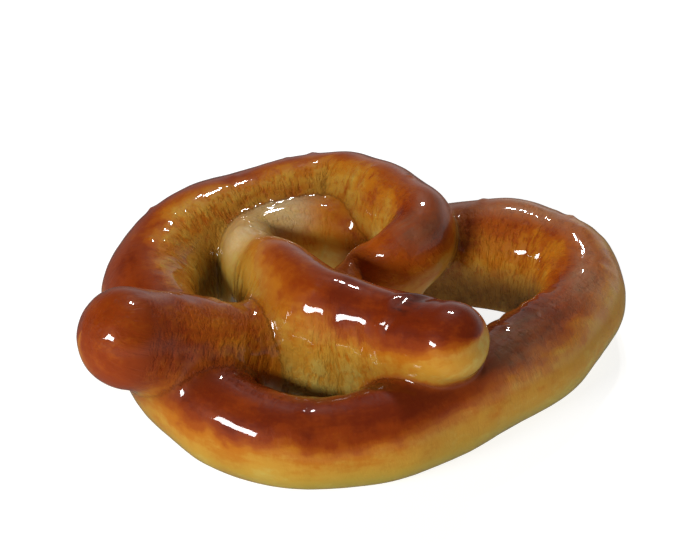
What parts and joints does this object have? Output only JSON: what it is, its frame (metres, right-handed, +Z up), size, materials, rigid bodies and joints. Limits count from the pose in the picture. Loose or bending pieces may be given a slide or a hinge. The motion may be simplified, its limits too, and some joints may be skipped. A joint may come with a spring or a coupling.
{
  "type": "soft pretzel",
  "caption": "Rope of bread dough laid in a ring, twisted and folded back over itself, baked whole with a glossy brown crust and a flat underside.",
  "frame": {"origin": "on the resting plane, under the middle of the pretzel's box", "axes": "+Z up from the resting plane; -Y towards the belly of the ring, where both ends lie; +X to the right of someone who faces +Y"},
  "size_m": [0.1332, 0.1145, 0.041],
  "materials": {
    "crust": "gloss"
  },
  "bodies": {
    "root": {"pretzel": "crust"}
  },
  "joints": []
}
